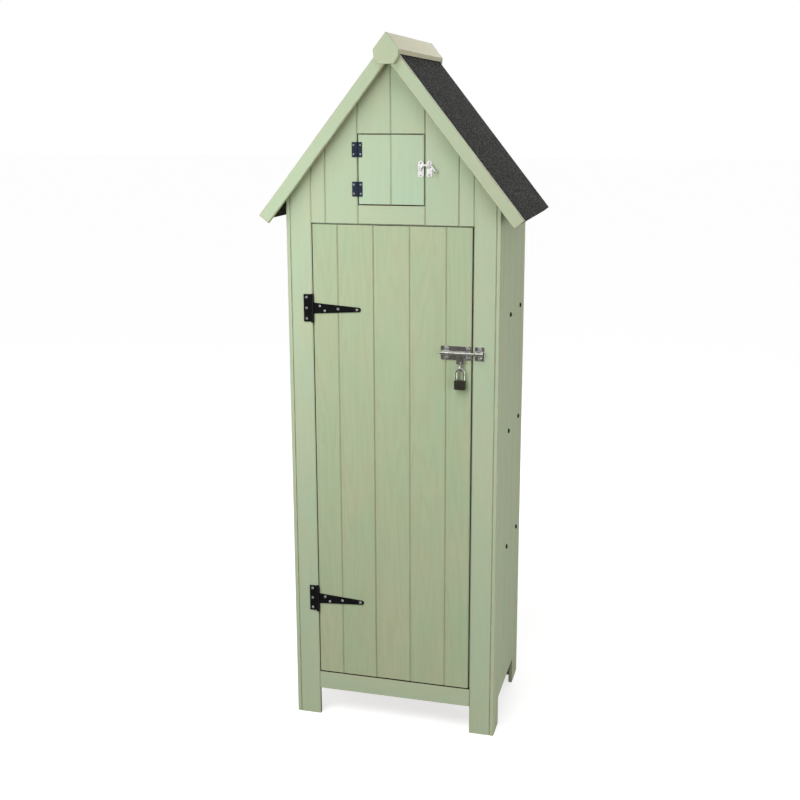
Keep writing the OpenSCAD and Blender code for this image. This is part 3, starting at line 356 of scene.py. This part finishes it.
def boards(names, finish, arris=0.8, worn_line=0.0):
    """Wooden nodes with their arrises eased by arris mm. Each board has its own number, and the vee joints
    and rubbed arrises are marked for the stain, as is a line worn_line mm in from a board's left edge. The
    edges round the door and the hatch are marked too, for painted shade in the gaps, but not on bare wood
    indoors."""
    for name in names:
        bm = merged_copy(name)
        line = min(v.co.x for v in bm.verts) + worn_line * mm
        line_end = line + worn_width * mm
        for cut in (line, line_end) if worn_line else ():
            bmesh.ops.bisect_plane(bm, geom=list(bm.faces) + list(bm.edges) + list(bm.verts),
                                   dist=same_point / 10, plane_co=(cut, 0, 0), plane_no=(1, 0, 0))
        seam = bm.faces.layers.float.new("seam")
        rubbed = bm.faces.layers.float.new("rubbed")
        number = bm.faces.layers.float.new("board")
        gap = bm.faces.layers.float.new("gap")
        openings = () if finish.startswith("bare") else (doorway, hatchway)
        for face in bm.faces:
            n, c = face.normal, face.calc_center_median() / mm
            if abs(n.z) < 0.1 and min(abs(n.x), abs(n.y)) > 0.3:
                face[seam] = joint_share
            elif n.y < -0.9 and worn_line and line < c.x * mm < line_end:
                face[rubbed] = line_share
            # Faces in the narrow gaps round the door and the hatch are marked for painted shade
            elif abs(n.y) < 0.1 and any(in_gap(abs(c.x), c.z, *opening) for opening in openings):
                face[gap] = 1.0
        long_edges = [e for e in bm.edges if len(e.link_faces) == 2 and e.calc_length() > short_edge * mm
                      and e.calc_face_angle() > arris_angle and not any(f[seam] for f in e.link_faces)]
        eased = bmesh.ops.bevel(bm, geom=long_edges, offset=arris * mm, offset_type="OFFSET", segments=2,
                                profile=0.5, affect="EDGES", clamp_overlap=True, material=-1)
        for face in eased["faces"]:
            face[rubbed] = arris_share
        for group in solids(bm):
            value = chance.random()
            for face in group:
                face[number] = value
        finished(name + "_eased", bm, stain[finish], name)


def pressed(names, mat, radius):
    """Metal or felt nodes with their edges rounded, to radius mm."""
    for name in names:
        bm = merged_copy(name)
        edges = [e for e in bm.edges if len(e.link_faces) == 2 and e.calc_face_angle() > arris_angle]
        bmesh.ops.bevel(bm, geom=edges, offset=radius * mm, offset_type="OFFSET", segments=2, profile=0.5,
                        affect="EDGES", clamp_overlap=False, material=-1)
        finished(name + "_rounded", bm, mat, name)


def ring_out(bm, rim, rings):
    """Draws an edge loop round the Z axis out through rings of (radius, height) and closes the last."""
    for radius, height in rings:
        grown = bmesh.ops.extrude_edge_only(bm, edges=rim)["geom"]
        for vert in (g for g in grown if isinstance(g, bmesh.types.BMVert)):
            flat = vert.co.xy.normalized() * radius
            vert.co = (flat.x, flat.y, height)
        rim = [g for g in grown if isinstance(g, bmesh.types.BMEdge)]
    bmesh.ops.edgeloop_fill(bm, edges=rim)


def corners_of(group):
    """The lowest and highest corner of one solid."""
    points = [v.co for face in group for v in face.verts]
    return (Vector([min(p[i] for p in points) for i in range(3)]),
            Vector([max(p[i] for p in points) for i in range(3)]))


def put_into(bm, one, matrix):
    """Moves a small closed bmesh into place and adds it to the piece's own."""
    bmesh.ops.transform(one, matrix=matrix, verts=one.verts)
    bmesh.ops.recalc_face_normals(one, faces=one.faces)
    made = bpy.data.meshes.new("one_of_many")
    one.to_mesh(made)
    one.free()
    bm.from_mesh(made)
    bpy.data.meshes.remove(made)


def cross_head_screws(names):
    """Pan-head screws with a cross recess, at the places of the node's own, each turned its own way. Their
    forms are shares of the head's radius and of its rise."""
    for name in names:
        cad = merged_copy(name)
        bm = bmesh.new()
        for group in solids(cad):
            low, high = corners_of(group)
            head = (high.x - low.x) / 2
            rise = 1.9 * mm if head > 3 * mm else 1.2 * mm
            # The domed crown with its cross, then rings out over the rim and down the shank
            one = bmesh.new()
            bmesh.ops.create_grid(one, x_segments=5, y_segments=5, size=head * 0.52)
            for vert in one.verts:
                vert.co.z = rise - vert.co.xy.length_squared / head * 0.35
            rim = [e for e in one.edges if e.is_boundary]
            cross = [f for f in one.faces if min(abs(c) for c in f.calc_center_median().xy) < head * 0.05]
            shank = head * 0.42
            ring_out(one, rim, [(head * 0.8, rise * 0.78), (head * 0.96, rise * 0.45), (head, rise * 0.12),
                                (head * 0.97, 0.0), (shank, 0.0), (shank, low.y + rise - high.y)])
            sunk = bmesh.ops.extrude_face_region(one, geom=cross)["geom"]
            floor = [g for g in sunk if isinstance(g, bmesh.types.BMVert)]
            bmesh.ops.delete(one, geom=cross, context="FACES")
            bmesh.ops.translate(one, verts=floor, vec=(0, 0, -rise * 0.75))
            bmesh.ops.scale(one, verts=floor, vec=(0.75, 0.75, 1.0))
            turn = Matrix.Rotation(quarter, 4, "X") @ Matrix.Rotation(chance.random() * quarter, 4, "Z")
            place = Vector(((low.x + high.x) / 2, low.y + rise, (low.z + high.z) / 2))
            put_into(bm, one, Matrix.Translation(place) @ turn)
        cad.free()
        finished(name + "_cross_heads", bm, zinc, name)


def coach_bolts(name):
    """Domed coach bolts through the side boards, each with its shank. Their forms are shares of the head's
    radius and of its rise."""
    cad = merged_copy(name)
    bm = bmesh.new()
    for group in solids(cad):
        low, high = corners_of(group)
        radius, rise, side = (high.z - low.z) / 2, 4.0 * mm, math.copysign(1.0, low.x)
        shank = radius * 0.45
        one = bmesh.new()
        crown = bmesh.ops.create_circle(one, cap_ends=True, segments=24, radius=radius * 0.22)
        bmesh.ops.translate(one, verts=crown["verts"], vec=(0, 0, rise))
        rim = [e for e in one.edges if e.is_boundary]
        ring_out(one, rim, [(radius * 0.5, rise * 0.93), (radius * 0.74, rise * 0.76),
                            (radius * 0.9, rise * 0.5), (radius, rise * 0.14), (radius * 0.985, 0.0),
                            (shank, 0.0), (shank, low.x + rise - high.x)])
        seat = high.x - rise if side > 0 else low.x + rise
        place = Vector((seat, (low.y + high.y) / 2, (low.z + high.z) / 2))
        put_into(bm, one, Matrix.Translation(place) @ Matrix.Rotation(quarter * side, 4, "Y"))
    cad.free()
    finished(name + "_domed", bm, black_coat, name)


def plate_with_guides(name, plate, guides, bore, wall, screws):
    """A pressed bolt plate. It has rounded corners, a bead round each screw and half-round guides for a bar.
    plate is (left, right, bottom, top, thickness), guides are (left, right), bore is a guide's inner radius,
    wall its thickness and screws are (x, z). All lengths are in mm."""
    left, right, bottom, top, thick = plate
    bm = bmesh.new()
    bmesh.ops.create_cube(bm, size=1.0)
    bmesh.ops.scale(bm, verts=bm.verts, vec=(right - left, thick, top - bottom))
    bmesh.ops.translate(bm, verts=bm.verts, vec=((left + right) / 2, -thick / 2, (bottom + top) / 2))
    corners = [e for e in bm.edges if abs(e.verts[0].co.y - e.verts[1].co.y) > thick / 2]
    bmesh.ops.bevel(bm, geom=corners, offset=2.2, offset_type="OFFSET", segments=5, profile=0.5,
                    affect="EDGES", clamp_overlap=True, material=-1)
    rim = [e for e in bm.edges if all(v.co.y < -thick * 0.9 for v in e.verts) and e.calc_face_angle() > 1.0]
    bmesh.ops.bevel(bm, geom=rim, offset=0.5, offset_type="OFFSET", segments=3, profile=0.5,
                    affect="EDGES", clamp_overlap=True, material=-1)
    middle = (bottom + top) / 2
    for start, end in guides:
        one = bmesh.new()
        # The guide's section, thrown half round the bar and drawn down to the plate
        bmesh.ops.create_cube(one, size=1.0)
        bmesh.ops.delete(one, geom=[f for f in one.faces if abs(f.normal.y) > 0.5], context="FACES_ONLY")
        bmesh.ops.delete(one, geom=[v for v in one.verts if v.co.y > 0], context="VERTS")
        for vert in one.verts:
            vert.co = (start if vert.co.x < 0 else end, -bar_stand, bore + (wall if vert.co.z > 0 else 0.0))
        bmesh.ops.spin(one, geom=list(one.edges) + list(one.verts), cent=(0, -bar_stand, 0), axis=(1, 0, 0),
                       dvec=(0, 0, 0), angle=math.pi, steps=16, use_duplicate=False)
        feet = bmesh.ops.extrude_edge_only(one, edges=[e for e in one.edges if e.is_boundary])["geom"]
        bmesh.ops.translate(one, verts=[g for g in feet if isinstance(g, bmesh.types.BMVert)],
                            vec=(0, bar_stand - thick * 0.6, 0))
        bmesh.ops.holes_fill(one, edges=[e for e in one.edges if e.is_boundary], sides=8)
        bmesh.ops.recalc_face_normals(one, faces=one.faces)
        lips = [e for e in one.edges if len(e.link_faces) == 2 and e.calc_face_angle() > 1.0
                and max(v.co.y for v in e.verts) < -thick * 0.9]
        bmesh.ops.bevel(one, geom=lips, offset=0.35, offset_type="OFFSET", segments=2, profile=0.5,
                        affect="EDGES", clamp_overlap=True, material=-1)
        put_into(bm, one, Matrix.Translation((0, 0, middle)))
    for x, z in screws:
        one = bmesh.new()
        # A bead pressed up round the screw, 12 mm across and 0.75 mm high
        bmesh.ops.create_circle(one, cap_ends=True, segments=32, radius=3.75)
        ring_out(one, [e for e in one.edges if e.is_boundary], [
            (4.0, 0.35), (4.5, 0.75), (5.1, 0.75), (5.7, 0.35), (6.0, -0.4)])
        put_into(bm, one, Matrix.Translation((x, -thick, z)) @ Matrix.Rotation(quarter, 4, "X"))
    bmesh.ops.transform(bm, verts=bm.verts, matrix=Matrix.Translation((0, front, 0)) @ Matrix.Scale(mm, 4))
    finished(name + "_pressed", bm, nickel, name)


# The bolt and its keeper, in mm: the bar's height, the plates' bottom, top and thickness, and how far the
# screws stand above and below the bar
bar_height = 1022.5
plate_span = (1005, 1040, 1.5)
screw_rises = (-11, 11)

boards(["stile_left", "stile_right", "gable_boards", "side_boards_left", "side_boards_right", "back_boards",
        "post_front_left", "post_front_right", "post_rear_left", "post_rear_right", "hatch_jambs",
        "door_stop_left", "door_stop_right"], "upright")
boards(["hatch_boards"], "fresh_upright")
boards(["bottom_rail", "gable_sill", "head_batten", "hatch_battens",
        "ridge_plate_front", "ridge_plate_rear"], "across")
boards(["ridge_board_left", "ridge_board_right"], "along")
boards(["barge_right"], "down_right", 1.5)
boards(["barge_left"], "down_left", 1.5)
boards(["door_board_%d" % i for i in range(1, 6)], "door_upright", worn_line=7.5)
boards(["door_ledges"], "door_across")
boards(["floor_panel", "floor_bearers", "shelf_low", "shelf_mid", "shelf_high"], "bare_across")
boards(["shelf_battens", "roof_battens", "roof_boards_left", "roof_boards_right"], "bare_along")
pressed(["felt_left", "felt_right"], felt_grit, 0.8)
pressed(["hinge_plate_low", "hinge_plate_high", "hinge_strap_low", "hinge_strap_high"], black_coat, 0.35)
pressed(["hatch_hinge_frames", "hatch_leaves"], slate_coat, 0.25)
pressed(["slide_bolt", "shackle"], nickel, 0.3)
plate_with_guides("bolt_base", (125.2, 201.2, *plate_span), [(127.2, 147.2), (192.9, 200.9)], 3.6, 1.4,
                  [(x, bar_height + rise) for x in (138.2, 191.2) for rise in screw_rises])
plate_with_guides("bolt_keeper", (210.5, 234.5, *plate_span), [(212.0, 232.5)], 4.4, 1.4,
                  [(221.3, bar_height + rise) for rise in screw_rises])
pressed(["latch_post", "latch_pivot", "latch_arm"], latch_plate_painted_pale, 0.3)
pressed(["padlock_body"], enamel, 0.9)
cross_head_screws(["frame_screws", "door_screws", "hatch_screws"])
coach_bolts("side_bolts")


# The floor, the light and the camera

def studio_floor():
    """A plain pale floor. It keeps the shadow, the camera sees it near white and the metal sees it dim."""
    half_side = 40.0
    bm = bmesh.new()
    bmesh.ops.create_grid(bm, x_segments=1, y_segments=1, size=half_side)
    mesh = bpy.data.meshes.new("floor")
    bm.to_mesh(mesh)
    bm.free()
    obj = bpy.data.objects.new("floor", mesh)
    bpy.context.scene.collection.objects.link(obj)
    mat = bpy.data.materials.new("white_studio_floor")
    mat.use_nodes = True
    shader = mat.node_tree.nodes["Principled BSDF"]
    shader.inputs["Roughness"].default_value = 1.0
    shader.inputs["Specular IOR Level"].default_value = 0.0
    path = add(mat, "ShaderNodeLightPath")
    seen = add(mat, "ShaderNodeMix", {"data_type": "RGBA", 6: linear("#b6b2a8"), 7: linear("#b9b9b9")},
               {0: path.outputs["Is Camera Ray"]})
    tone = add(mat, "ShaderNodeMix", {"data_type": "RGBA", 7: linear("#8a8780")},
               {0: path.outputs["Is Glossy Ray"], 6: seen})
    mat.node_tree.links.new(tone.outputs[2], shader.inputs["Base Color"])
    shader.inputs["Emission Color"].default_value = (1.0, 1.0, 1.0, 1.0)
    glow = add(mat, "ShaderNodeMath", {"operation": "MULTIPLY", 1: 0.72}, {0: path.outputs["Is Camera Ray"]})
    mat.node_tree.links.new(glow.outputs[0], shader.inputs["Emission Strength"])
    mesh.materials.append(mat)


def lamp(name, kind, place, aim, size, power, tint=(1.0, 1.0, 1.0)):
    """A soft lamp at a place and turned towards a point, both in metres: a square panel of that side and
    power, or a sun of that angle and strength."""
    data = bpy.data.lights.new(name, kind)
    data.energy = power
    data.color = tint
    if kind == "AREA":
        data.shape = "SQUARE"
        data.size = size
    else:
        data.angle = math.radians(size)
    obj = bpy.data.objects.new(name, data)
    bpy.context.scene.collection.objects.link(obj)
    obj.location = place
    obj.rotation_euler = (Vector(aim) - Vector(place)).to_track_quat("-Z", "Y").to_euler()
    obj.visible_camera = False
    return obj


def studio_light():
    """The camera sees white all round. Light comes from high in front and is brightest on the gable, and
    soft fills stand at the sides and behind."""
    world = bpy.data.worlds.new("white_studio")
    bpy.context.scene.world = world
    world.use_nodes = True
    path = add(world, "ShaderNodeLightPath")
    place = add(world, "ShaderNodeTexCoord")
    height = add(world, "ShaderNodeSeparateXYZ", {}, {0: place.outputs["Generated"]})
    # Metal sees a white ceiling over dim walls and a dim floor, so its edges stand out
    ceiling = add(world, "ShaderNodeValToRGB", {"stops": [(0.15, 0.15), (0.5, 1.0)]},
                  {0: height.outputs["Z"]})
    shine = add(world, "ShaderNodeMix", {"data_type": "FLOAT", 2: 0.14},
                {0: path.outputs["Is Glossy Ray"], 3: ceiling})
    level = add(world, "ShaderNodeMix", {"data_type": "FLOAT", 3: 1.0},
                {0: path.outputs["Is Camera Ray"], 2: shine})
    plain = world.node_tree.nodes["Background"]
    plain.inputs["Color"].default_value = (1.0, 1.0, 1.0, 1.0)
    world.node_tree.links.new(level.outputs[0], plain.inputs["Strength"])
    sky = lamp("sky", "SUN", (-0.9, -2.2, 4.0), (0.0, 0.0, 0.0), 32, 1.5)
    key = lamp("key", "AREA", (-0.6, -1.25, 1.5), (-0.05, -0.1, 1.35), 0.9, 10.6, (0.95, 1.0, 0.985))
    # These two are strong. Metal doesn't mirror them and sees the white ceiling and a plain card instead
    sky.visible_glossy = key.visible_glossy = False
    card = lamp("card", "AREA", (-0.22, -1.45, 1.62), (0.02, -0.1, 1.5), 0.6, 1.2)
    card.visible_diffuse = False
    lamp("fill_right", "AREA", (2.8, -1.1, 1.0), (0.2, -0.1, 0.8), 1.8, 32.0)
    lamp("fill_left", "AREA", (-2.7, 0.4, 1.5), (0.0, 0.0, 0.8), 1.8, 18.0)
    lamp("fill_back", "AREA", (0.5, 2.8, 2.3), (0.0, 0.0, 0.9), 1.8, 38.0)


def photograph_camera():
    """The camera of the photograph, fitted to the corners of the shed."""
    place = (0.730378, -2.833231, 1.592971)
    yaw, pitch, roll = (math.radians(a) for a in (14.445, -12.5726, -0.062))
    # The picture's side, the point that the lens looks straight at and the focal length, in pixels
    picture, middle_x, middle_y, focal = 800, 410.82, 366.0, 1127.197
    ahead = Vector((-math.sin(yaw) * math.cos(pitch), math.cos(yaw) * math.cos(pitch), math.sin(pitch)))
    level = Vector((math.cos(yaw), math.sin(yaw), 0.0))
    upward = level.cross(ahead)
    right = math.cos(roll) * level + math.sin(roll) * upward
    top = -math.sin(roll) * level + math.cos(roll) * upward
    data = bpy.data.cameras.new("camera")
    data.sensor_width = 36.0
    data.lens = focal / picture * data.sensor_width
    data.shift_x = (picture / 2 - middle_x) / picture
    data.shift_y = (middle_y - picture / 2) / picture
    obj = bpy.data.objects.new("camera", data)
    bpy.context.scene.collection.objects.link(obj)
    turn = Matrix((right, top, -ahead)).transposed().to_4x4()
    obj.matrix_world = Matrix.Translation(place) @ turn
    bpy.context.scene.camera = obj


studio_floor()
studio_light()
photograph_camera()
bpy.context.scene.view_settings.view_transform = "Standard"
